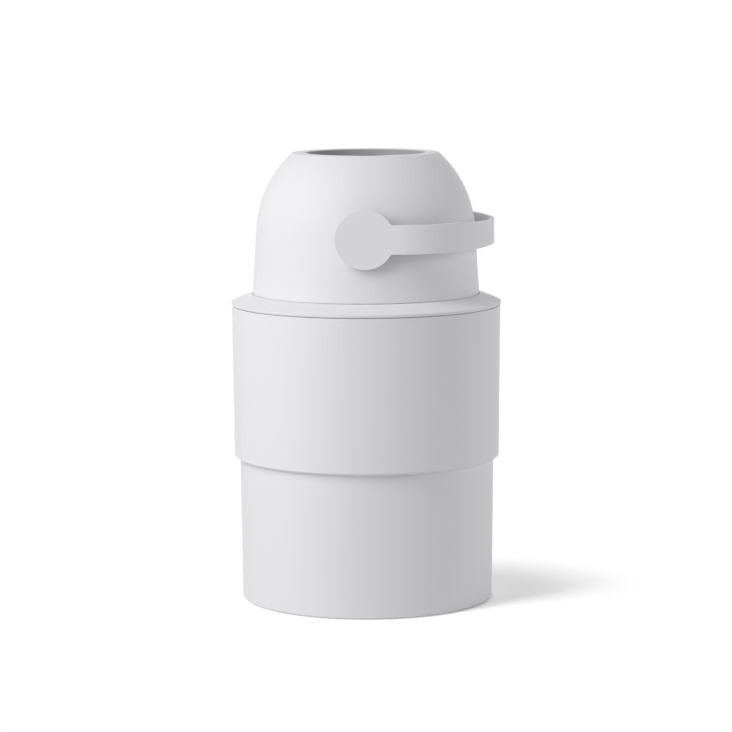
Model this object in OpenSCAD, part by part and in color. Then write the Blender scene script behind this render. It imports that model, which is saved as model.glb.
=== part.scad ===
// Nappy bin with a flip-over drum.
// A ball-shaped drum turns in a domed head. A nappy dropped into its barrel lands on a piston.
// Flipping the handle turns the drum half a turn: the nappy falls into the bin and the piston
// slides to the other end of the barrel, so that the mouth is always closed by the drum.
// Units are millimetres. +Z is up, the origin is on the floor under the bin's axis,
// and the handle's pivot runs along Y. The head opens about a hinge at the back, +Y.

/* [Drum] */
// Radius of the ball that the drum sweeps as it turns
ball_r = 95; // [92:0.5:104]
// Radius of the mouth that a nappy goes through
throat_r = 60; // [52:0.5:66]
// How far the barrel's bore is set back outside the retaining rings
barrel_lip = 2; // [1.2:0.1:3]
// Wall of the barrel
barrel_wall = 2.5; // [1.8:0.1:3.5]
// Wall of the ball shells
shell_wall = 2; // [1.5:0.1:3]
// Radius of the hubs that carry the drum
hub_r = 13; // [11:0.5:16]
// Height of the piston
piston_h = 16; // [14:0.5:24]
// Gap between the piston's seal and the bore
piston_gap = 0.3; // [0.2:0.05:0.5]
// Space between the steel weight and the piston's wall, where the screws go
weight_space = 14; // [12:0.5:24]

/* [Head] */
// Wall of the moulded head parts
wall = 2.4; // [1.8:0.1:3.2]
// Space between the ball and the dome
dome_gap = 16.2; // [12:0.2:18]
// How far the dome's sphere is centred below the pivot
dome_drop = 3.9; // [0:0.1:6]
// How much wider the dome is at its foot than at its sphere
dome_flare = 4; // [1:0.1:8]
// Depth of the mouth's wall above the ball
throat_depth = 6.5; // [3.2:0.1:7]
// Rounding of the dome's top edge
dome_edge_r = 2; // [1:0.1:4]
// Width of the sloping shoulder, seen from above
shoulder_w = 21.8; // [18:0.1:28]
// Height of the shoulder, from its part line to the dome's foot
shoulder_rise = 11.6; // [9:0.1:18]
// How far the shoulder's slope is crowned above a straight cone
shoulder_crown = 0.4; // [0.2:0.1:1.2]
// Height of the shoulder's upright rim
rim_h = 3.2; // [2:0.1:5]
// How far that rim stands out over the casing
rim_out = 0.6; // [0.3:0.1:1.2]
// Height of the shadow groove under the dome's foot
groove_h = 0.8; // [0.6:0.1:2]
// Depth of that groove
groove_d = 0.5; // [0.4:0.1:2]
// Depth that the shoulder's skirt reaches into the casing
skirt_depth = 9; // [7:0.5:10]

/* [Casing and bucket] */
// Height of the casing's lower edge above the floor
casing_foot = 148; // [120:1:160]
// Height of the casing
casing_h = 159.6; // [150:0.1:180]
// Lean of the casing's wall, in degrees
casing_draft = 0.55; // [0.3:0.05:1.5]
// Width of the step from the casing to the bucket
step_w = 5.1; // [4:0.1:8]
// Height of the sloping part of that step
step_rise = 3; // [2:0.5:8]
// Lean of the bucket's wall, in degrees
bucket_draft = 0.65; // [0.3:0.05:1.5]
// Height of the bucket
bucket_h = 188; // [175:1:200]
// Height of the bucket's floor above the ground
bucket_floor_z = 5; // [4:0.5:9]
// Number of rubber feet
foot_count = 6; // [4:1:8]
// Radius of a rubber foot
foot_r = 9; // [6:0.5:12]
// Height of the bucket's lower edge above the ground
foot_proud = 0.8; // [0.4:0.1:2]
// Radius of the bag ring's mouth
bag_mouth_r = 111; // [104:1:114]

/* [Handle] */
// Thickness of the handle's strap and discs
handle_t = 4; // [3:0.1:5]
// Radius of the discs over the pivots
disc_r = 30; // [24:0.5:34]
// Height of the strap's two arms
strap_h = 29.3; // [26:0.1:34]
// Height of the strap at its middle
strap_mid_h = 24.9; // [18:0.1:26]
// Half the length over which the strap narrows to its middle
strap_waist = 90; // [60:1:100]
// Reach of the strap from the bin's axis
handle_reach = 133.1; // [126:0.1:136]
// Length of the flat part of the strap from the pivot
strap_flat = 33; // [31:0.5:38]
// Radius of the bend that follows the flat part
bend_r = 80; // [70:1:86]
// Fillet between a disc and the strap
neck_fillet = 3; // [2:0.5:8]
// Radius of the handle's stub axles
axle_r = 8; // [6.5:0.1:9]

/* [Hinge] */
// Radius of the hinge pin
pin_r = 2; // [1.5:0.1:2.5]
// Radius of the hinge knuckles
knuckle_r = 4.2; // [3.8:0.1:5]
// Length of each casing knuckle
knuckle_l = 15; // [10:0.5:20]
// Length of the head's knuckle
mid_knuckle_l = 33; // [20:0.5:40]
// How far the hinge axis stands outside the casing's rim
hinge_out = 0.6; // [0.4:0.1:1.5]
// How far the hinge axis lies below the casing's rim
hinge_down = 3.5; // [3:0.1:5]

/* [Fits] */
// Part line left between two mouldings
seam = 0.5; // [0.3:0.1:1]
// Clearance of a plug or spigot in its socket
fit = 0.05; // [0.03:0.01:0.2]
// Running clearance of an axle or pin
run = 0.06; // [0.04:0.01:0.1]
// Gap between two parts that move past each other
gap = 0.3; // [0.2:0.05:0.6]

/* [Hidden] */
$fn = 128;
tiny = 0.01;
far = 400;

// Heights, from the floor up
casing_top = casing_foot + casing_h;
shoulder_z = casing_top + seam;
floor_sink = 1.9;
floor_top = shoulder_z - floor_sink;
floor_z = floor_top - wall;
lip_gap = 0.75;
mouth_rise = sqrt(pow(ball_r, 2) - pow(throat_r, 2)) + lip_gap + throat_depth;
plate_rise = mouth_rise - wall;
pivot_z = floor_top + plate_rise;
dome_top = pivot_z + mouth_rise;
dome_c = pivot_z - dome_drop;
dome_foot = shoulder_z + shoulder_rise;

// Radii, from the drum out
bore_r = throat_r - 3 + barrel_lip;
ring_r = throat_r - 3;
barrel_r = bore_r + barrel_wall;
throat_wall = 2.45;
dome_r = ball_r + dome_gap + wall;
dome_in_r = dome_r - wall;
dome_foot_r = dome_r + dome_flare;
casing_top_r = dome_foot_r + shoulder_w;
function casing_r(z) = casing_top_r - (casing_top - z) * tan(casing_draft);
step_r = casing_r(casing_foot + step_rise) - step_w;
function bucket_r(z) = step_r - seam + (z - casing_foot) * tan(bucket_draft);

// Screws: head radius, head height, shank radius
screw_head_r = 3.6;
screw_head_h = 1.8;
screw_r = 1.9;
screw_tip_gap = 0.4;

// Colours
WHITE = [0.90, 0.90, 0.91];
GREY = [0.55, 0.55, 0.57];
DARK = [0.25, 0.25, 0.27];
STEEL = [0.72, 0.73, 0.75];

// ---------- helpers ----------

// Copies the children n times round Z, the first one at angle a0
module around(n, a0 = 0) {
    for (i = [0 : n - 1]) rotate([0, 0, a0 + 360 * i / n]) children();
}

// The children at the front (-Y) and, mirrored, at the back
module both_sides() {
    children();
    mirror([0, 1, 0]) children();
}

// The children turned so that +Z points along -Y, at the pivot's height
module on_pivot() {
    translate([0, 0, pivot_z]) rotate([90, 0, 0]) children();
}

// The children mirrored in the plane through the pivot
module flipped() {
    translate([0, 0, 2 * pivot_z]) mirror([0, 0, 1]) children();
}

// A ring of square section from r0 to r1 and z0 to z1
module ring(r0, r1, z0, z1) {
    translate([0, 0, z0]) difference() {
        cylinder(r = r1, h = z1 - z0);
        translate([0, 0, -1]) cylinder(r = r0, h = z1 - z0 + 2);
    }
}

// A screw whose head sits at z = 0 and reaches down, with its shank pointing up
module screw(length) {
    difference() {
        translate([0, 0, -screw_head_h]) cylinder(r = screw_head_r, h = screw_head_h, $fn = 48);
        translate([0, 0, -screw_head_h - 1]) cylinder(r = 1.6, h = 2.1, $fn = 6);
    }
    translate([0, 0, -tiny]) cylinder(r = screw_r, h = length + tiny, $fn = 32);
}

// ---------- bucket ----------

boss_r = 4.2;
boss_at = bucket_r(bucket_h) - wall - 3.4;
boss_depth = 24;
casing_screw_l = 16;
foot_at = bucket_r(0) - wall - foot_r - 7;
socket_wall = 1.8;
base_edge = 1.6;
floor_fillet = 5;
rim_t = 3;
rim_r = casing_r(bucket_h) - wall - gap;
base_ribs = 12;
rib_t = 1.6;

module bucket_section() {
    inner = bucket_r(bucket_floor_z) - wall;
    polygon([
        [0, bucket_floor_z],
        [inner, bucket_floor_z],
        [bucket_r(0) - wall, foot_proud],
        [bucket_r(0) - base_edge, foot_proud],
        [bucket_r(0), foot_proud + base_edge],
        [bucket_r(bucket_h - rim_t), bucket_h - rim_t],
        [rim_r, bucket_h - rim_t],
        [rim_r, bucket_h],
        [bucket_r(bucket_h) - wall, bucket_h],
        [inner, bucket_floor_z + wall + floor_fillet],
        [inner, bucket_floor_z + wall],
        [0, bucket_floor_z + wall]]);
    // The inside corner between floor and wall is rounded
    translate([inner, bucket_floor_z + wall]) difference() {
        translate([-floor_fillet, -tiny]) square([floor_fillet + 1, floor_fillet + tiny]);
        translate([-floor_fillet, floor_fillet]) circle(r = floor_fillet);
    }
}

module bucket() color(WHITE) difference() {
    union() {
        rotate_extrude() bucket_section();
        // Ribs and foot sockets under the floor
        difference() {
            around(base_ribs, 180 / base_ribs)
                translate([16, -rib_t / 2, foot_proud + 1])
                    cube([bucket_r(0) - wall - 15.5, rib_t, bucket_floor_z - foot_proud - 0.5]);
            around(foot_count) translate([foot_at, 0, -1]) cylinder(r = foot_r + 0.5, h = far / 10);
        }
        ring(16, 16 + rib_t, foot_proud + 1, bucket_floor_z + 0.5);
        around(foot_count) translate([foot_at, 0, 0])
            ring(foot_r + fit, foot_r + socket_wall, foot_proud + 1, bucket_floor_z + 0.5);
        // Screw bosses inside the rim
        intersection() {
            around(4) translate([boss_at, 0, bucket_h - boss_depth])
                cylinder(r = boss_r, h = boss_depth, $fn = 48);
            cylinder(r = bucket_r(bucket_h) - 0.8, h = far);
        }
    }
    around(4) translate([boss_at, 0, bucket_h + wall - casing_screw_l - screw_tip_gap])
        cylinder(r = screw_r + fit, h = far, $fn = 32);
}

module rubber_feet() color(DARK) around(foot_count) translate([foot_at, 0, 0]) rotate_extrude($fn = 64)
    polygon([[0, 0], [foot_r - 1, 0], [foot_r, 1], [foot_r, bucket_floor_z], [0, bucket_floor_z]]);

// ---------- casing ----------

ledge_z = casing_top - 16.5;
ledge_w = 13;
seat_w = 5;
casing_ribs = 16;
hinge_y = casing_top_r + hinge_out;
hinge_z = casing_top - hinge_down;
notch_depth = hinge_down + knuckle_r + 1.8;
hinge_half = mid_knuckle_l / 2 + seam + knuckle_l;

function casing_in_r(z) = casing_r(z) - wall;

// The casing filled to its axis, inside its inner surface
module casing_core() {
    rotate_extrude() polygon([
        [0, casing_foot - 1],
        [step_r, casing_foot - 1],
        [step_r, casing_foot + 3],
        [casing_in_r(casing_foot + step_rise + 2), casing_foot + step_rise + 2],
        [casing_in_r(casing_top + 9), casing_top + 9],
        [0, casing_top + 9]]);
}

module casing_outer() {
    rotate_extrude() polygon([
        [0, casing_foot],
        [step_r + 0.8, casing_foot],
        [casing_r(casing_foot + step_rise), casing_foot + step_rise],
        [casing_r(casing_top - 0.6), casing_top - 0.6],
        [casing_top_r - 0.6, casing_top],
        [0, casing_top]]);
}

// A knuckle with the gusset that carries it on the casing's wall, from x0 along +X
module casing_knuckle(x0) {
    translate([x0, hinge_y, hinge_z]) rotate([0, 90, 0]) cylinder(r = knuckle_r, h = knuckle_l, $fn = 64);
    translate([x0, 0, 0]) rotate([90, 0, 90]) linear_extrude(knuckle_l) polygon([
        [hinge_y - 9, hinge_z - 22],
        [hinge_y - 2, hinge_z - 22],
        [hinge_y + knuckle_r, hinge_z - 6],
        [hinge_y + knuckle_r, hinge_z],
        [hinge_y, hinge_z],
        [hinge_y - 9, hinge_z - 8]]);
}

module upper_casing() color(WHITE) difference() {
    union() {
        difference() {
            union() {
                difference() {
                    casing_outer();
                    // Notch in the rim for the hinge
                    translate([-hinge_half - seam, casing_top_r - 20, casing_top - notch_depth])
                        cube([2 * (hinge_half + seam), 40, far]);
                }
                for (x0 = [-hinge_half, hinge_half - knuckle_l]) casing_knuckle(x0);
            }
            casing_core();
        }
        intersection() {
            union() {
                // Seat that rests on the bucket's rim, with a tab for each screw
                ring(bucket_r(bucket_h) - wall, casing_r(bucket_h), bucket_h, bucket_h + wall);
                around(4) translate([boss_at, 0, bucket_h]) cylinder(r = boss_r + 2, h = wall, $fn = 48);
                // Ledge for the bag ring, on ribs
                ring(casing_in_r(ledge_z) - ledge_w, casing_r(ledge_z), ledge_z - wall, ledge_z);
                around(casing_ribs, 180 / casing_ribs) rotate([90, 0, 0])
                    translate([0, 0, -rib_t / 2]) linear_extrude(rib_t) polygon([
                        [casing_in_r(ledge_z) - ledge_w + 1, ledge_z - 1],
                        [casing_r(ledge_z), ledge_z - 1],
                        [casing_r(ledge_z), ledge_z - 20]]);
            }
            // Nothing comes through the outer wall
            rotate_extrude() polygon([
                [0, casing_foot + step_rise],
                [casing_r(casing_foot + step_rise) - wall / 2, casing_foot + step_rise],
                [casing_top_r - wall / 2, casing_top],
                [0, casing_top]]);
        }
    }
    // Bores for the hinge pin and the screws
    translate([-far / 2, hinge_y, hinge_z]) rotate([0, 90, 0]) cylinder(r = pin_r + run, h = far, $fn = 48);
    around(4) translate([boss_at, 0, bucket_h - 1]) cylinder(r = screw_r + 0.3, h = wall + 2, $fn = 32);
}

module casing_screws() color(STEEL) around(4) translate([boss_at, 0, bucket_h + wall])
    mirror([0, 0, 1]) screw(casing_screw_l);

module hinge_pin() color(STEEL) translate([-hinge_half + 1, hinge_y, hinge_z]) rotate([0, 90, 0])
    cylinder(r = pin_r, h = 2 * hinge_half - 2, $fn = 48);

// ---------- bag ring ----------

bag_ring_r = casing_in_r(ledge_z) - 5.8;
bag_rim_top = floor_z - 3;
roll = 4;
bag_lip_l = 8;

module bag_ring() color(GREY) rotate_extrude() {
    roll_x = bag_mouth_r + roll;
    roll_z = ledge_z + wall - roll;
    polygon([
        [roll_x, ledge_z],
        [bag_ring_r, ledge_z],
        [bag_ring_r, bag_rim_top - 0.6],
        [bag_ring_r - 0.6, bag_rim_top],
        [bag_ring_r - wall, bag_rim_top],
        [bag_ring_r - wall, ledge_z + wall],
        [roll_x, ledge_z + wall]]);
    // The inner edge rolls down, so that a bag slides over it
    intersection() {
        difference() {
            translate([roll_x, roll_z]) circle(r = roll, $fn = 64);
            translate([roll_x, roll_z]) circle(r = roll - wall, $fn = 64);
        }
        translate([roll_x - 2 * roll, roll_z]) square(2 * roll);
    }
    translate([bag_mouth_r, ledge_z - bag_lip_l]) square([wall, roll_z - ledge_z + bag_lip_l]);
}

// ---------- head: dome ----------

// Where the flared skirt leaves the sphere, as an angle above the equator
skirt_reach = norm([dome_foot_r, dome_c - dome_foot]);
skirt_a = acos(dome_r / skirt_reach) - atan((dome_c - dome_foot) / dome_foot_r);
function skirt_r(z, t = 0) = (dome_r - t) / cos(skirt_a) + (dome_c - z) * tan(skirt_a);

// The foot under the groove, which stands in the shoulder ring
spigot_r = dome_foot_r - groove_d;
spigot_z = floor_top + wall;
groove_top = dome_foot + groove_h;
boss_top = spigot_z + 9;
head_screws_n = 6;
head_screw_at = spigot_r - wall - 3.4;
head_screw_a = 180 / head_screws_n;
head_screw_l = 10;
head_screw_sink = 1;
edge_c = [sqrt(pow(dome_r - dome_edge_r, 2) - pow(dome_top - dome_edge_r - dome_c, 2)),
    dome_top - dome_edge_r];

// Where the skirt's line starts: a hair inside a sphere of radius r, so that the outlines cross
function skirt_start(r) = [0, dome_c] + r * cos(1) * [cos(skirt_a), sin(skirt_a)];

// The dome's outline filled to the axis
module dome_fill() {
    top_dir = atan2(edge_c[1] - dome_c, edge_c[0]);
    start = skirt_start(dome_r);
    intersection() {
        translate([0, dome_c]) circle(r = dome_r, $fn = 360);
        polygon([[0, dome_c], [far * cos(top_dir), dome_c + far * sin(top_dir)], [far, dome_c]]);
    }
    polygon([[0, dome_c], [0, dome_top], [edge_c[0], dome_top], edge_c]);
    // A hair larger than its rounding, so that it crosses the lines it rounds
    translate(edge_c) circle(r = dome_edge_r + tiny, $fn = 64);
    polygon([[0, start[1]], start, [skirt_r(groove_top), groove_top], [spigot_r, groove_top],
        [spigot_r, spigot_z], [0, spigot_z]]);
}

module dome_hollow() {
    start = skirt_start(dome_in_r);
    intersection() {
        translate([0, dome_c]) circle(r = dome_in_r, $fn = 360);
        polygon([[0, dome_c], [far, dome_c], [far, dome_top - wall], [0, dome_top - wall]]);
    }
    polygon([[0, start[1]], start, [skirt_r(groove_top + wall, wall), groove_top + wall],
        [spigot_r - wall, groove_top], [spigot_r - wall, spigot_z - 1], [0, spigot_z - 1]]);
}

disc_in = dome_foot_r + 0.2;
bush_wall = 2.4;
bush_flange_t = 2.4;
pad_out = disc_in - gap - bush_flange_t;
pad_in = dome_in_r - 2.6;
pad_r = 18;
hub_end = pad_in - gap;
stop_in = 15;
stop_out = 22;
lug_a = 14;
stop_a = 12;
stop_gap_a = asin(gap / stop_in);

// A wedge of a ring about the pivot: radii, middle angle, width, and its span from the bin's axis
module pivot_wedge(r0, r1, middle, width, y0, y1) {
    on_pivot() translate([0, 0, y0]) linear_extrude(y1 - y0) intersection() {
        difference() {
            circle(r = r1);
            circle(r = r0);
        }
        polygon([[0, 0], 2 * r1 * [cos(middle - width / 2), sin(middle - width / 2)],
            2 * r1 * [cos(middle + width / 2), sin(middle + width / 2)]]);
    }
}

module dome_shell() color(WHITE) difference() {
    union() {
        rotate_extrude() difference() {
            dome_fill();
            dome_hollow();
            translate([0, dome_top - 20]) square([throat_r + throat_wall + fit, 40]);
        }
        // Bosses inside the foot for the screws that hold the head together
        intersection() {
            around(head_screws_n, head_screw_a) translate([head_screw_at, 0, spigot_z])
                cylinder(r = boss_r, h = boss_top - spigot_z, $fn = 48);
            translate([0, 0, spigot_z]) cylinder(r = spigot_r - wall / 2, h = far);
        }
        // Flat pads for the pivot bushes, and the stops that end the drum's half turn
        both_sides() {
            on_pivot() translate([0, 0, pad_in]) cylinder(r = pad_r, h = pad_out - pad_in);
            for (side = [-1, 1])
                pivot_wedge(stop_in, stop_out, 180 + side * (90 - lug_a / 2 - stop_a / 2 - stop_gap_a), stop_a,
                    hub_end - 6, pad_in + 2);
        }
    }
    both_sides() on_pivot() translate([0, 0, pad_in - 1])
        cylinder(r = axle_r + bush_wall + fit, h = far, $fn = 96);
    around(head_screws_n, head_screw_a) translate([head_screw_at, 0, floor_z + head_screw_sink])
        cylinder(r = screw_r + fit, h = head_screw_l + screw_tip_gap, $fn = 32);
}

module bush() color(GREY) on_pivot() difference() {
    union() {
        translate([0, 0, pad_in]) cylinder(r = axle_r + bush_wall, h = pad_out - pad_in + tiny, $fn = 96);
        translate([0, 0, pad_out]) cylinder(r = pad_r - 2, h = bush_flange_t, $fn = 96);
    }
    cylinder(r = axle_r + run, h = far, $fn = 96);
}

// ---------- head: shoulder ring and floor ----------

shoulder_in_r = dome_foot_r + seam;
shoulder_r = casing_top_r + rim_out;
rim_round = 1.2;
skirt_out_r = casing_in_r(casing_top) - 1;
skirt_in_r = skirt_out_r - wall;
arm_root = skirt_out_r - 1.6;
flange_in_r = head_screw_at - boss_r - 1;

// The slope is an arc from the dome's foot to the rim
crown_from = [shoulder_in_r, dome_foot];
crown_to = [shoulder_r, shoulder_z + rim_h];
crown_chord = norm(crown_to - crown_from);
crown_r = (pow(crown_chord / 2, 2) + pow(shoulder_crown, 2)) / (2 * shoulder_crown);
crown_up = [crown_from[1] - crown_to[1], crown_to[0] - crown_from[0]] / crown_chord;
crown_c = (crown_from + crown_to) / 2 - (crown_r - shoulder_crown) * crown_up;

module shoulder_section() difference() {
    // Everything under the slope: the rim, the skirt in the casing, and the flange under the dome
    intersection() {
        translate(crown_c) circle(r = crown_r, $fn = 360);
        polygon([
            [shoulder_r - rim_round, shoulder_z],
            [shoulder_r, shoulder_z + rim_round],
            [shoulder_r, dome_foot + 1],
            [shoulder_in_r, dome_foot + 1],
            [shoulder_in_r, spigot_z],
            [flange_in_r, spigot_z],
            [flange_in_r, floor_top],
            [skirt_in_r, floor_top],
            [skirt_in_r, casing_top - skirt_depth],
            [skirt_out_r - 0.6, casing_top - skirt_depth],
            [skirt_out_r, casing_top - skirt_depth + 0.6],
            [skirt_out_r, shoulder_z]]);
    }
    // The space inside, which is open below
    intersection() {
        translate(crown_c) circle(r = crown_r - wall, $fn = 360);
        translate([shoulder_in_r + wall, floor_top - 1])
            square([skirt_in_r - shoulder_in_r - wall, dome_foot - floor_top]);
    }
}

module shoulder_ring() color(WHITE) difference() {
    union() {
        rotate_extrude() shoulder_section();
        // Hinge knuckle and its arm
        translate([-mid_knuckle_l / 2, 0, 0]) {
            translate([0, hinge_y, hinge_z]) rotate([0, 90, 0]) cylinder(r = knuckle_r, h = mid_knuckle_l, $fn = 64);
            rotate([90, 0, 90]) linear_extrude(mid_knuckle_l) polygon([
                [hinge_y, hinge_z - 2],
                [hinge_y + knuckle_r, hinge_z],
                [hinge_y + knuckle_r, hinge_z + 1.5],
                [hinge_y + 1, shoulder_z + rim_h],
                [casing_top_r - 4, shoulder_z + rim_h],
                [casing_top_r - 4, shoulder_z],
                [arm_root, shoulder_z],
                [arm_root, hinge_z - 2]]);
        }
    }
    // Room for the casing's knuckles to turn in
    for (x0 = [-hinge_half - seam, mid_knuckle_l / 2])
        translate([x0, hinge_y, hinge_z]) rotate([0, 90, 0])
            cylinder(r = knuckle_r + seam, h = knuckle_l + 2 * seam, $fn = 64);
    translate([-far / 2, hinge_y, hinge_z]) rotate([0, 90, 0]) cylinder(r = pin_r + run, h = far, $fn = 48);
    around(head_screws_n, head_screw_a) translate([head_screw_at, 0, floor_top - 1])
        cylinder(r = screw_r + 0.3, h = wall + 2, $fn = 32);
}

floor_r = skirt_in_r - 0.2;
floor_ribs = 12;
floor_rib_h = 10;
collar_r = throat_r + 16;
collar_h = 4;
gasket_low = bag_rim_top + gap;

module head_floor() color(WHITE) difference() {
    union() {
        ring(throat_r + throat_wall + fit, floor_r, floor_z, floor_top);
        // Stiffening ribs that clear the turning ball
        around(floor_ribs, 180 / floor_ribs) rotate([90, 0, 0])
            translate([0, 0, -rib_t / 2]) linear_extrude(rib_t) polygon([
                [collar_r + 1, floor_top - 1],
                [flange_in_r - seam, floor_top - 1],
                [flange_in_r - seam, floor_top + floor_rib_h],
                [collar_r + floor_rib_h, floor_top + floor_rib_h],
                [collar_r + 1, floor_top + collar_h - 1]]);
        ring(collar_r, collar_r + 2, floor_z, floor_top + collar_h);
    }
    around(head_screws_n, head_screw_a) translate([head_screw_at, 0, floor_z - 1]) {
        cylinder(r = screw_r + 0.3, h = wall + 2, $fn = 32);
        cylinder(r = screw_head_r + 0.3, h = 1 + head_screw_sink, $fn = 48);
    }
}

module head_screws() color(STEEL) around(head_screws_n, head_screw_a)
    translate([head_screw_at, 0, floor_z + head_screw_sink]) screw(head_screw_l);

gasket_in = bag_ring_r - wall - 1.4;

module head_gasket() color(DARK) rotate_extrude() polygon([
    [gasket_in, floor_z],
    [gasket_in, floor_z - 1],
    [gasket_in + 1, gasket_low],
    [bag_ring_r - 0.5, gasket_low],
    [bag_ring_r, floor_z - 1],
    [bag_ring_r, floor_z]]);

// ---------- seals ----------

// Height of the ball's swept surface above the pivot at radius r, with a clearance c
function ball_h(r, c = 0) = sqrt(pow(ball_r + c, 2) - r * r);

// The mouth seal's flange, and the lip under it that leans in to the ball
seal_t = 2.2;
seal_flange_w = 11;
lip_set = 6.9;
lip_root_t = 2.5;
lip_tip_t = 1;
lip_lean = 0.5;
seal_r = throat_r + seal_flange_w;
lip_root_in = throat_r + lip_set;
lip_root_out = lip_root_in + lip_root_t;
lip_end_in = lip_root_in - lip_lean;
lip_end_out = lip_end_in + lip_tip_t;
lip_gap_in = 0.4;
lip_gap_out = 0.5;

module mouth_seal() rotate_extrude() {
    under = pivot_z + plate_rise;
    polygon([
        [throat_r, pivot_z + ball_h(throat_r, 0.6)],
        [throat_r, dome_top - 0.9],
        [throat_r + 0.6, dome_top - 0.3],
        [throat_r + throat_wall, dome_top - 0.3],
        [throat_r + throat_wall, under],
        [seal_r, under],
        [seal_r, under - seal_t],
        [lip_root_out, under - seal_t],
        [lip_end_out, pivot_z + ball_h(lip_end_out, lip_gap_out)],
        [lip_end_in, pivot_z + ball_h(lip_end_in, lip_gap_in)],
        [lip_root_in, under - seal_t],
        [throat_r + throat_wall, under - seal_t]]);
}

module upper_seal() color(GREY) mouth_seal();
module lower_seal() color(GREY) flipped() mouth_seal();

// ---------- drum ----------

end_rise = ball_h(barrel_r, -0.2);
ring_t = 2.8;
barrel_rise = end_rise - ring_t;
clip_w = 2;
clip_l = 8;
neck_in = barrel_r + clip_w + 0.2;
// The seats lie below the rings' clips, which pass over them
seat_t = 2;
seat_clear = 1.3442;
seat_rise = barrel_rise - clip_l - seat_clear - seat_t;
axle_round = hub_end - 2.6;
key_l = 11.7;
axle_end = axle_round - key_l;
key_w = axle_r * 1.36;
head_sink = 0.4;
screw_seat = bore_r + head_sink + screw_head_h;
// The handle screws stop just inside the hubs' ends
handle_screw_short = 1.1;
handle_screw_l = hub_end - handle_screw_short - screw_seat;

module barrel_section() {
    translate([bore_r, -barrel_rise]) square([barrel_wall, 2 * barrel_rise]);
    // Seats for the shells' necks
    for (side = [-1, 1]) translate([barrel_r - tiny, side * (seat_rise + seat_t / 2) - seat_t / 2])
        square([neck_in - barrel_r + shell_wall, seat_t]);
}

module drum_barrel() color(GREY) difference() {
    union() {
        translate([0, 0, pivot_z]) rotate_extrude() barrel_section();
        both_sides() {
            difference() {
                on_pivot() translate([0, 0, barrel_r - 3]) cylinder(r = hub_r, h = hub_end - barrel_r + 3);
                translate([0, 0, pivot_z]) cylinder(r = bore_r + 0.5, h = far, center = true);
            }
            // Lug that meets the dome's stops
            pivot_wedge(hub_r - 1, stop_out - 1, -90, lug_a, hub_end - 5, hub_end);
        }
    }
    both_sides() on_pivot() {
        // Socket for the handle's axle: a square seat, and a round mouth
        translate([-key_w / 2 - fit, -key_w / 2 - fit, axle_end - fit])
            cube([key_w + 2 * fit, key_w + 2 * fit, far]);
        translate([0, 0, axle_round - fit]) cylinder(r = axle_r + fit, h = far, $fn = 96);
        cylinder(r = screw_r + 0.3, h = far, $fn = 32);
        cylinder(r = screw_head_r + 0.2, h = screw_seat, $fn = 48);
    }
}

module retaining_ring() color(GREY) translate([0, 0, pivot_z]) rotate_extrude() {
    out = barrel_r + clip_w;
    polygon([
        [ring_r, barrel_rise],
        [ring_r, end_rise - 0.8],
        [ring_r + 0.8, end_rise],
        [barrel_r, end_rise],
        [out, ball_h(out, -0.2)],
        [out, barrel_rise - clip_l],
        [barrel_r + fit, barrel_rise - clip_l],
        [barrel_r + fit, barrel_rise]]);
}

tongue_t = 1.8;
tongue_gap = 0.4;
tongue_l = 4;

// Half of the ball's wall. A tongue, where there is one, laps inside the other half
module shell_section(tongue) {
    inner_r = ball_r - shell_wall;
    difference() {
        circle(r = ball_r, $fn = 360);
        difference() {
            circle(r = inner_r, $fn = 360);
            if (tongue) translate([inner_r - tongue_t, -tongue_l]) square([far, 2 * tongue_l + 1]);
        }
        translate([-far, -far]) square([far, 2 * far]);
        square([neck_in, far]);
        translate([-1, -far]) square([inner_r - tongue_t + 1, far]);
        translate([inner_r - (tongue ? tongue_gap : tongue_t + 1), -far]) square([far, far]);
        translate([0, -far]) square([far, far - tongue_l]);
    }
    // Neck that stands on the barrel's seat
    translate([neck_in, seat_rise + seat_t])
        square([shell_wall, ball_h(neck_in + shell_wall, -shell_wall) - seat_rise - seat_t + 0.5]);
}

module half_shell(tongue = false) difference() {
    translate([0, 0, pivot_z]) rotate_extrude() shell_section(tongue);
    both_sides() on_pivot() cylinder(r = hub_r + 0.1, h = far);
}

module drum_shell_upper() color(GREY) half_shell();
module drum_shell_lower() color(GREY) flipped() half_shell(tongue = true);

module handle_screws() color(STEEL) both_sides() on_pivot()
    translate([0, 0, screw_seat]) screw(handle_screw_l);

// ---------- handle ----------

disc_out = disc_in + handle_t;
// The strap's outer line is a flat, a bend of bend_r and a wide arc that meets the bend smoothly
bend_y = disc_out - bend_r;
side = handle_reach - strap_flat;
arc_r = (side * side + bend_y * bend_y - bend_r * bend_r) / (2 * (side - bend_r));
arc_x = handle_reach - arc_r;
join_a = atan2(bend_y, strap_flat - arc_x);

// The strap's plan, filled, with its outline moved in by t
module bail_plan(t) difference() {
    intersection() {
        union() {
            translate([arc_x, 0]) circle(r = arc_r - t, $fn = 360);
            translate([-far / 2, -far / 2]) square([far / 2 + strap_flat, far]);
        }
        translate([-far / 4, t - disc_out]) square([far, 2 * (disc_out - t)]);
    }
    // Corners outside the bends, which are a hair larger than tangent so that the outlines cross
    for (s = [-1, 1]) difference() {
        polygon([[strap_flat, s * bend_y], [strap_flat, s * far],
            [strap_flat, s * bend_y] + far * [cos(join_a), s * sin(join_a)]]);
        translate([strap_flat, s * bend_y]) circle(r = bend_r - t + tiny, $fn = 360);
    }
}

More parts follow.
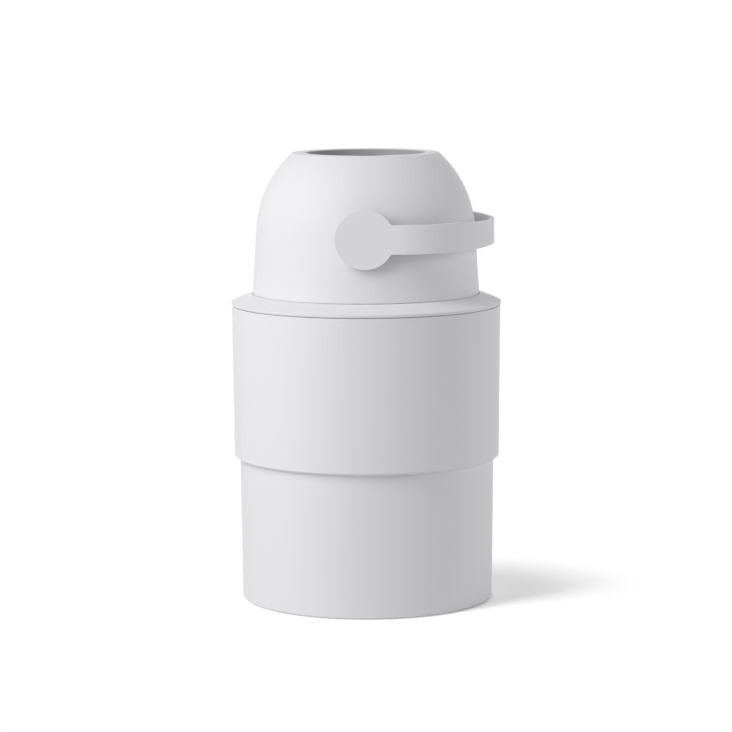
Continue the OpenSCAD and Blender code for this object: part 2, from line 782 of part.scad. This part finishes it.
// The strap and one disc seen along the pivot
module bail_side() {
    half = strap_h / 2;
    // The fillets' circles reach a hair into the disc and the strap, so that the outlines cross
    reach = disc_r + neck_fillet - tiny;
    rise = half + neck_fillet - tiny;
    neck = [sqrt(reach * reach - rise * rise), rise];
    circle(r = disc_r);
    translate([0, -half]) square([handle_reach + 5, strap_h]);
    for (s = [-1, 1]) scale([1, s]) difference() {
        polygon([neck * disc_r / reach, neck, [neck[0], half - 1], [neck[0] - 8, half - 1]]);
        translate(neck) circle(r = neck_fillet, $fn = 64);
    }
}

// What an arc above and an arc below take off the strap, so that it narrows to its middle
waist_sag = (strap_h - strap_mid_h) / 2;
waist_r = (pow(strap_waist, 2) + pow(waist_sag, 2)) / (2 * waist_sag);

module strap_waist_cuts() {
    for (s = [-1, 1]) translate([strap_flat, 0, pivot_z + s * (strap_mid_h / 2 + waist_r)])
        rotate([0, 90, 0]) cylinder(r = waist_r, h = far, $fn = 720);
}

module handle() color(WHITE) difference() {
    union() {
        difference() {
            intersection() {
                translate([0, 0, pivot_z - disc_r - 5]) linear_extrude(2 * disc_r + 10) difference() {
                    bail_plan(0);
                    bail_plan(handle_t);
                }
                on_pivot() translate([0, 0, -far / 2]) linear_extrude(far) bail_side();
            }
            strap_waist_cuts();
        }
        both_sides() on_pivot() {
            translate([0, 0, axle_round]) cylinder(r = axle_r, h = disc_in - axle_round + 1, $fn = 96);
            translate([-key_w / 2, -key_w / 2, axle_end]) cube([key_w, key_w, axle_round - axle_end + 1]);
        }
    }
    both_sides() on_pivot() cylinder(r = screw_r + fit, h = disc_in - 2, $fn = 32);
}

// ---------- piston ----------

piston_z = pivot_z - barrel_rise + gap;
piston_r = bore_r - 1;
cup_h = (piston_h - 4) / 2;
cup_wall = 2;
weight_r = piston_r - cup_wall - weight_space;
weight_t = 6;
seat_h = (piston_h - weight_t) / 2;
piston_screw_at = weight_r + weight_space / 2;
piston_screw_sink = 0.6;
piston_screw_l = piston_h - 2 * (screw_head_h + 1);

module piston_cup() difference() {
    union() {
        rotate_extrude() {
            polygon([[0, 1.4], [weight_r, 0.9], [piston_r - 4, 0], [piston_r - 0.8, 0], [piston_r, 0.8],
                [piston_r, cup_h], [piston_r - cup_wall, cup_h], [piston_r - cup_wall, cup_wall + 1],
                [weight_r, cup_wall + 1], [weight_r, seat_h], [weight_r - 4, seat_h],
                [weight_r - 4, cup_wall + 1.4], [0, cup_wall + 1.4]]);
        }
        around(3, 90) translate([piston_screw_at, 0, cup_wall]) cylinder(r = 4, h = piston_h / 2 - cup_wall, $fn = 48);
    }
    around(3, 90) translate([piston_screw_at, 0, screw_head_h + piston_screw_sink])
        cylinder(r = screw_r + fit, h = far, $fn = 32);
}

module piston_lower() color(GREY) translate([0, 0, piston_z]) difference() {
    piston_cup();
    around(3, 90) translate([piston_screw_at, 0, -1]) {
        cylinder(r = screw_head_r + 0.2, h = 1 + screw_head_h + piston_screw_sink, $fn = 48);
        cylinder(r = screw_r + 0.2, h = far, $fn = 32);
    }
}

module piston_upper() color(GREY) translate([0, 0, piston_z + piston_h]) mirror([0, 0, 1]) piston_cup();

module piston_weight() color(STEEL) translate([0, 0, piston_z + seat_h]) cylinder(r = weight_r, h = weight_t);

module piston_seal() color(DARK) translate([0, 0, piston_z]) rotate_extrude() polygon([
    [piston_r - cup_wall, cup_h],
    [piston_r, cup_h],
    [bore_r - piston_gap, cup_h + 1],
    [bore_r - piston_gap, piston_h - cup_h - 1],
    [piston_r, piston_h - cup_h],
    [piston_r - cup_wall, piston_h - cup_h]]);

module piston_screws() color(STEEL) around(3, 90)
    translate([piston_screw_at, 0, piston_z + screw_head_h + piston_screw_sink]) screw(piston_screw_l);

// ---------- nodes ----------

bucket();
rubber_feet();
upper_casing();
casing_screws();
bag_ring();
hinge_pin();
dome_shell();
shoulder_ring();
head_floor();
upper_seal();
lower_seal();
head_gasket();
bush();  // front_bush
mirror([0, 1, 0]) bush();  // rear_bush
head_screws();
drum_barrel();
drum_shell_upper();
drum_shell_lower();
retaining_ring();  // retaining_ring_upper
flipped() retaining_ring();  // retaining_ring_lower
handle();
handle_screws();
piston_upper();
piston_lower();
piston_weight();
piston_seal();
piston_screws();
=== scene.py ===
# %% [markdown]
# # A nappy bin with a flip-over drum
#
# The bin is a tapered bucket, a wider casing that sleeves over it, and a domed head with a round
# mouth. A bail handle on two round discs turns a ball-shaped drum inside the head. Every part is
# already there as a solid model, so this lesson is about looking at moulded plastic: a camera at
# the right distance, soft light that models round walls, and a finish for each material.
#
# Each one keeps its place, in metres, with +Z up and the handle's front disc facing -Y.

# %% Load the bin's parts
import bpy
import math
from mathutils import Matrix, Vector

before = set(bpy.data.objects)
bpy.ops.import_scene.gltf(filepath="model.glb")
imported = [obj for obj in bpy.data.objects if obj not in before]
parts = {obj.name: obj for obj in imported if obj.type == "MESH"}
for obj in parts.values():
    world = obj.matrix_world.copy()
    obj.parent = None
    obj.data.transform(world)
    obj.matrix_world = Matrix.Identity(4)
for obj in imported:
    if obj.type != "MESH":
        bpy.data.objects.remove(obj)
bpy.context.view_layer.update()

# %% [markdown]
# ## Camera
#
# A round bin looks best from far away through a long lens, so that the rims stay flat ellipses and
# the sides stay almost upright. The lens is given as a focal length in pixels of the square
# picture, because that is what sets how large a metre looks at a given distance. A small roll about
# the line of sight stands the bin upright in the frame.

# %% Place the camera
PICTURE_PX = 732
FOCAL_PX = 2985
SENSOR_MM = 36
FAR_CLIP = 60
CAMERA_AT = (0.027, -3.089, 0.638)
CAMERA_AIM = (-0.0005, 0, 0.2427)
CAMERA_ROLL = math.radians(-0.29)

scene = bpy.context.scene
scene.view_settings.view_transform = "Standard"


def aimed(name, data, place, target):
    """Adds a camera or lamp at place, turned so that it looks at target."""
    thing = bpy.data.objects.new(name, data)
    thing.location = place
    thing.rotation_euler = (Vector(target) - Vector(place)).to_track_quat("-Z", "Y").to_euler()
    scene.collection.objects.link(thing)
    print(name, "stands at", place)
    return thing


lens = bpy.data.cameras.new("camera")
lens.sensor_width = SENSOR_MM
lens.lens = FOCAL_PX / PICTURE_PX * SENSOR_MM
lens.clip_end = FAR_CLIP
scene.camera = aimed("camera", lens, CAMERA_AT, CAMERA_AIM)
scene.camera.rotation_euler.rotate_axis("Z", CAMERA_ROLL)

# %% [markdown]
# ## Shader maths as arithmetic
#
# A finish is a small sum: a colour that drifts a little, a roughness that drifts more, and a height
# for the grain. It could be wired by hand, node after node, but a sum is easier to read. So `Wire`
# wraps the output of a node, and turns `+`, `-` and `*` into Math nodes, whichever side the plain
# number stands on.

# %% A wire between nodes
class Wire:
    """The output of a node, which can be used in arithmetic."""

    def __init__(self, tree, socket):
        self.tree = tree
        self.socket = socket

    def __add__(self, other):
        return self.tree.math("ADD", self, other)

    def __radd__(self, other):
        return self.tree.math("ADD", other, self)

    def __sub__(self, other):
        return self.tree.math("SUBTRACT", self, other)

    def __rsub__(self, other):
        return self.tree.math("SUBTRACT", other, self)

    def __mul__(self, other):
        return self.tree.math("MULTIPLY", self, other)

    def __rmul__(self, other):
        return self.tree.math("MULTIPLY", other, self)


print("Wires add, subtract and multiply")

# %% [markdown]
# ## One way to add a node
#
# Materials and the sky are both trees of nodes. Every node comes from `Tree.node`, which sets the
# node's options first and then its sockets, because some options change which sockets there are.

# %% A tree of nodes
class Tree:
    """The nodes of a material or of the sky, which are added one by one."""

    def __init__(self, node_tree):
        self.nodes = node_tree.nodes
        self.links = node_tree.links
        self.nodes.clear()

    def node(self, kind, settings=None, sockets=None, output=0):
        """Adds a node, sets its options and then its sockets, and returns one of its outputs."""
        made = self.nodes.new(kind)
        for option, value in (settings or {}).items():
            if option == "stops":
                for stop, (place, grey) in zip(made.color_ramp.elements, value):
                    stop.position = place
                    stop.color = (grey, grey, grey, 1)
            else:
                setattr(made, option, value)
        for key, value in (sockets or {}).items():
            if isinstance(value, Wire):
                self.links.new(value.socket, made.inputs[key])
            else:
                made.inputs[key].default_value = value
        return Wire(self, made.outputs[output]) if made.outputs else None

    def math(self, operation, a, b):
        """A sum, difference, product or maximum of two numbers."""
        return self.node("ShaderNodeMath", {"operation": operation}, {0: a, 1: b})


print("A tree adds nodes of any kind")

# %% [markdown]
# ## Finishes
#
# A finish is a material with its own tree, which ends in the same kind of surface shader for all of
# the bin's materials. `wear` gives it to the parts that are made of it.

# %% A finish
class Finish(Tree):
    """A material that is built node by node."""

    def __init__(self, name):
        self.material = bpy.data.materials.new(name)
        self.material.use_nodes = True
        super().__init__(self.material.node_tree)

    def close(self, **sockets):
        """Adds the surface shader. Socket names are written with underscores for spaces."""
        named = {key.replace("_", " "): value for key, value in sockets.items()}
        surface = self.node("ShaderNodeBsdfPrincipled", None, named)
        self.node("ShaderNodeOutputMaterial", None, {"Surface": surface})
        print("Finish", self.material.name, "has", len(self.nodes), "nodes")
        return self.material


print("A finish ends in a surface shader")


# %% Who wears a finish
def wear(names, material):
    """Gives each named part the material on all its faces."""
    for name in names:
        mesh = parts[name].data
        mesh.materials.clear()
        mesh.materials.append(material)
    print(len(names), "parts wear", material.name)


print("Parts to dress:", len(parts))

# %% [markdown]
# ## Noise, colour and grain
#
# Real plastic is never the same all over. Noise could be laid on with painted pictures, but noise
# from the part's own coordinates needs none, moves with the part and has no seams. Its scale is
# given in lumps per metre, so that the grain keeps its real size on small and large parts alike. It
# mixes two near colours, and as a height it tilts the light without moving the surface.

# %% Noise, mixed colours and bumps
MIX_RESULT = 2
OBJECT_PLACE = 3


def rgba(colour, times=1.0, plus=0.0):
    """The colour scaled and raised, never above one, with an alpha of one."""
    return tuple(min(1, c * times + plus) for c in colour) + (1,)


def noise(f, per_metre, detail=2, stretch=(1, 1, 1)):
    """Noise from 0 to 1 that moves with the part, with per_metre lumps in a metre."""
    place = f.node("ShaderNodeTexCoord", output=OBJECT_PLACE)
    turned = f.node("ShaderNodeMapping", None, {"Vector": place, "Scale": stretch})
    return f.node("ShaderNodeTexNoise", None,
                  {"Vector": turned, "Scale": per_metre, "Detail": detail})


def mix(f, amount, a, b):
    """A colour between a and b."""
    return f.node("ShaderNodeMix", {"data_type": "RGBA"}, {0: amount, 6: a, 7: b}, MIX_RESULT)


def bump(f, height, depth):
    """A normal that shows height, whose full range is depth metres."""
    return f.node("ShaderNodeBump", None, {"Height": height, "Distance": depth})


print("A tint, a tenth lighter:", rgba((0.5, 0.5, 0.5), 1.1))

# %% [markdown]
# ## White moulded shells
#
# The visible shells are injection moulded in a white plastic, and the mould is spark eroded, which
# leaves an even satin grain about a third of a millimetre across. A flat colour would look like
# paper. So the grain is a shallow bump, the gloss drifts a little where the melt flowed and cooled
# unevenly, and the colour drifts by about one per cent. The grain also breaks up the surface's own
# reflection, so its specular level is low: a full one would put a bright rim round every shell.

# %% White plastic for the shells and the handle
PLASTIC_IOR = 1.49
SATIN = 0.2
NOISE_MEAN = 0.5
GLOSS_DRIFT = 0.07
FLOW_PER_M = 9
FLOW_STRETCH = (1, 1, 0.4)
PATCHES_PER_M = 70
SINKS_PER_M = 18
GRAIN_PER_M = 3000
GRAIN_DEPTH = 0.00004
GRAIN_SHARE = 0.7


def moulded(name, colour, rough, colour_drift):
    """A satin moulded plastic."""
    f = Finish(name)
    flow = noise(f, FLOW_PER_M, 3, FLOW_STRETCH)
    patches = noise(f, PATCHES_PER_M, 4)
    base = mix(f, flow, rgba(colour, 1 - colour_drift), rgba(colour, 1 + colour_drift))
    gloss = (patches - NOISE_MEAN) * GLOSS_DRIFT + (flow - NOISE_MEAN) * GLOSS_DRIFT + rough
    height = noise(f, GRAIN_PER_M) * GRAIN_SHARE + noise(f, SINKS_PER_M, 1) * (1 - GRAIN_SHARE)
    return f.close(Base_Color=base, Roughness=gloss, IOR=PLASTIC_IOR, Specular_IOR_Level=SATIN,
                   Normal=bump(f, height, GRAIN_DEPTH))


wear(["bucket", "upper_casing", "dome_shell", "shoulder_ring", "head_floor"],
     moulded("white_shell", (0.786, 0.783, 0.802), 0.56, colour_drift=0.012))
wear(["handle"], moulded("white_handle", (0.808, 0.805, 0.824), 0.6, colour_drift=0.008))

# %% [markdown]
# ## Grey plastic of the drum
#
# The barrel, the ball's halves and the bag ring are grey, so that marks show less. They are moulded
# in polished tools and are glossier than the shells. Nappies and bags rub them, so faint upright
# scuffs run along the bore. A noise that is stretched upright and cut by a ramp leaves only its
# peaks, which are the scuffs.

# %% Grey plastic
CLOUD_PER_M = 30
RUBS_PER_M = 420
RUB_STRETCH = (1, 1, 0.04)
RUB_STOPS = ((0.56, 0), (0.72, 1))
RUB_PALER = 1.12
RUB_COVER = 0.35
CLOUD_COVER = 0.15
RUB_DULLS = 0.14
CLOUD_DULLS = 0.08
POLISHED_DEPTH = 0.00002


def scuffed(name, colour, rough):
    """A smooth grey plastic with faint upright rub marks."""
    f = Finish(name)
    rubs = noise(f, RUBS_PER_M, 3, RUB_STRETCH)
    marks = f.node("ShaderNodeValToRGB", {"stops": RUB_STOPS}, {"Fac": rubs})
    cloud = noise(f, CLOUD_PER_M, 3)
    base = mix(f, marks * RUB_COVER + cloud * CLOUD_COVER, rgba(colour), rgba(colour, RUB_PALER))
    gloss = marks * RUB_DULLS + (cloud - NOISE_MEAN) * CLOUD_DULLS + rough
    return f.close(Base_Color=base, Roughness=gloss, IOR=PLASTIC_IOR,
                   Normal=bump(f, noise(f, GRAIN_PER_M), POLISHED_DEPTH))


wear(["drum_barrel", "drum_shell_upper", "drum_shell_lower", "retaining_ring_upper",
      "retaining_ring_lower", "piston_upper", "piston_lower", "bag_ring", "front_bush",
      "rear_bush"], scuffed("grey_plastic", (0.42, 0.42, 0.43), 0.36))

# %% [markdown]
# ## Soft seals and rubber feet
#
# The mouth seals are a soft grey elastomer, and the feet, the gasket and the piston's seal are
# black rubber. Both scatter light broadly and pick up a bloom of dust, which is a slow, pale
# mottling with hardly any gloss.

# %% Soft elastomers
RUBBER_IOR = 1.5
BLOOM_PER_M = 55
BLOOM_COVER = 0.6
DUST_PER_M = 900
DUST_COVER = 0.3
DUST_DEPTH = 0.00003
RUBBER_ROUGH = 0.62
RUBBER_DRIFT = 0.12


def elastomer(name, colour, bloom):
    """A matt rubber with a pale bloom."""
    f = Finish(name)
    cloud = noise(f, BLOOM_PER_M, 5)
    dust = noise(f, DUST_PER_M, 3)
    base = mix(f, cloud * BLOOM_COVER + dust * DUST_COVER, rgba(colour), rgba(colour, plus=bloom))
    return f.close(Base_Color=base, Roughness=cloud * RUBBER_DRIFT + RUBBER_ROUGH, IOR=RUBBER_IOR,
                   Specular_IOR_Level=SATIN, Normal=bump(f, dust, DUST_DEPTH))


wear(["upper_seal", "lower_seal"], elastomer("grey_seal", (0.40, 0.40, 0.405), 0.06))
wear(["rubber_feet", "head_gasket", "piston_seal"],
     elastomer("dark_rubber", (0.035, 0.035, 0.038), 0.04))

# %% [markdown]
# ## Steel screws, hinge pin and weight
#
# These are zinc-plated steel. Plating follows the turning marks, so the roughness is streaked, and
# the colour is a slightly cool grey.

# %% Zinc-plated steel
STREAKS_PER_M = 1400
STREAK_STRETCH = (1, 0.05, 1)
STREAK_DEPTH = 0.00001
STREAK_DULLS = 0.2
STEEL_ROUGH = 0.22
SPOTS_PER_M = 300
ZINC_DARK = (0.56, 0.57, 0.59)
ZINC_LIGHT = (0.68, 0.69, 0.70)


def plated_steel(name):
    """Bright plated steel with fine streaks."""
    f = Finish(name)
    streaks = noise(f, STREAKS_PER_M, 2, STREAK_STRETCH)
    base = mix(f, noise(f, SPOTS_PER_M), rgba(ZINC_DARK), rgba(ZINC_LIGHT))
    return f.close(Base_Color=base, Metallic=1.0, Roughness=streaks * STREAK_DULLS + STEEL_ROUGH,
                   Normal=bump(f, streaks, STREAK_DEPTH))


wear(["casing_screws", "hinge_pin", "head_screws", "handle_screws", "piston_screws",
      "piston_weight"], plated_steel("steel"))

# %% [markdown]
# ## Softened edges
#
# No moulded edge is razor sharp, and the thin bright line along a rim is light caught in its
# rounding. The solids could carry these roundings, but they are too small to matter there. A bevel
# modifier rounds every sharp edge of the shells by a fraction of a millimetre. It leaves edges
# that turn by less than 60 degrees alone, because rounding those would push the walls outward.

# %% Round the sharp edges of the shells
EDGE_MM = {
    "handle": 0.5,
    "dome_shell": 0.3,
    "shoulder_ring": 0.4,
    "upper_casing": 0.3,
    "bucket": 0.3,
}
EDGE_ANGLE = math.radians(60)
EDGE_SEGMENTS = 2

for name, radius in EDGE_MM.items():
    soften = parts[name].modifiers.new("soft edges", "BEVEL")
    soften.width = radius / 1000
    soften.segments = EDGE_SEGMENTS
    soften.limit_method = "ANGLE"
    soften.angle_limit = EDGE_ANGLE
    print("Edges of", name, "rounded by", radius, "mm")

# %% [markdown]
# ## Floor
#
# The ground has to be pure white but for one soft shadow. More light would bleach the bin, so the
# rays that show the background see a floor of their own: it glows white everywhere except in a
# round patch beside the bin, where it is a very pale surface that takes the bin's shadow. To come
# out white where it is lit, the patch has to give back more light than one diffuse shader can, so
# two are added. The rays that carry light to the bin meet plain grey paper.

# %% Rays that show the background
def seen(tree):
    """1 for the camera's own rays, and for mirrored and refracted ones."""
    path = tree.node("ShaderNodeLightPath").socket.node
    camera, mirrored, refracted = (Wire(tree, path.outputs[f"Is {ray} Ray"])
                                   for ray in ("Camera", "Glossy", "Transmission"))
    return tree.math("MAXIMUM", tree.math("MAXIMUM", camera, mirrored), refracted)


print("Camera, glossy and transmission rays show the background")

# %% White floor that keeps the shadow
FLOOR_SIZE = 30
SHADOW_AT = (0.10, 0.02, 0)
SHADOW_FROM = 0.05
SHADOW_TO = 0.21
PAPER = (0.74, 0.74, 0.74)
PATCH = ((0.98, 0.98, 0.98), (0.42, 0.42, 0.42))
WHITE = (1, 1, 1)

bpy.ops.mesh.primitive_plane_add(size=FLOOR_SIZE)
floor = bpy.context.object
floor.name = "floor"
f = Finish("floor")
spot = f.node("ShaderNodeTexCoord", output=OBJECT_PLACE)
away = f.node("ShaderNodeVectorMath", {"operation": "DISTANCE"}, {0: spot, 1: SHADOW_AT}, output=1)
fade = f.node("ShaderNodeMapRange", {"interpolation_type": "SMOOTHSTEP"},
              {"Value": away, "From Min": SHADOW_FROM, "From Max": SHADOW_TO})
paper, pale, paler = (f.node("ShaderNodeBsdfDiffuse", None, {"Color": rgba(colour)})
                      for colour in (PAPER, *PATCH))
shaded = f.node("ShaderNodeAddShader", None, {0: pale, 1: paler})
white = f.node("ShaderNodeEmission", None, {"Color": rgba(WHITE)})
shown = f.node("ShaderNodeMixShader", None, {0: fade, 1: shaded, 2: white})
ground = f.node("ShaderNodeMixShader", None, {0: seen(f), 1: paper, 2: shown})
f.node("ShaderNodeOutputMaterial", None, {"Surface": ground})
floor.data.materials.append(f.material)
print("Floor", FLOOR_SIZE, "m across has", len(f.nodes), "nodes")

# %% [markdown]
# ## Sky
#
# The sky does the same as the floor: it is white where it is seen, and dim where it lights the bin,
# so that the lamps do the shading.

# %% White sky that lights dimly
SKY = 0.225

world = bpy.data.worlds.new("studio")
scene.world = world
world.use_nodes = True
sky = Tree(world.node_tree)
level = seen(sky) * (1 - SKY) + SKY
background = sky.node("ShaderNodeBackground", None, {"Color": rgba(WHITE), "Strength": level})
sky.node("ShaderNodeOutputWorld", None, {"Surface": background})
print("Sky lights at", SKY)

# %% [markdown]
# ## Lamps
#
# A white bin on a white ground is drawn by its shading alone. One tall, narrow lamp stands high on
# the left and in front, and a weak one beside the right wall draws the edge there. The grey paper
# throws their light up under the casing's step. A fill behind the bin keeps its back white. It is
# hidden from mirrored rays, or it would draw a bright line along both sides.

# %% Three soft lamps
BIN_MIDDLE = (0, 0, 0.25)


def softbox(name, place, width, height, watts):
    """A rectangular area lamp that faces the bin."""
    lamp = bpy.data.lights.new(name, "AREA")
    lamp.shape = "RECTANGLE"
    lamp.size = width
    lamp.size_y = height
    lamp.energy = watts
    return aimed(name, lamp, place, BIN_MIDDLE)


softbox("key", (-2.10, -1.66, 2.10), width=1.2, height=3.0, watts=87)
softbox("edge", (3.0, -0.2, 1.0), width=1.5, height=1.5, watts=28)
fill = softbox("fill", (0.4, 3.3, 1.3), width=2.0, height=2.0, watts=26)
fill.visible_glossy = False
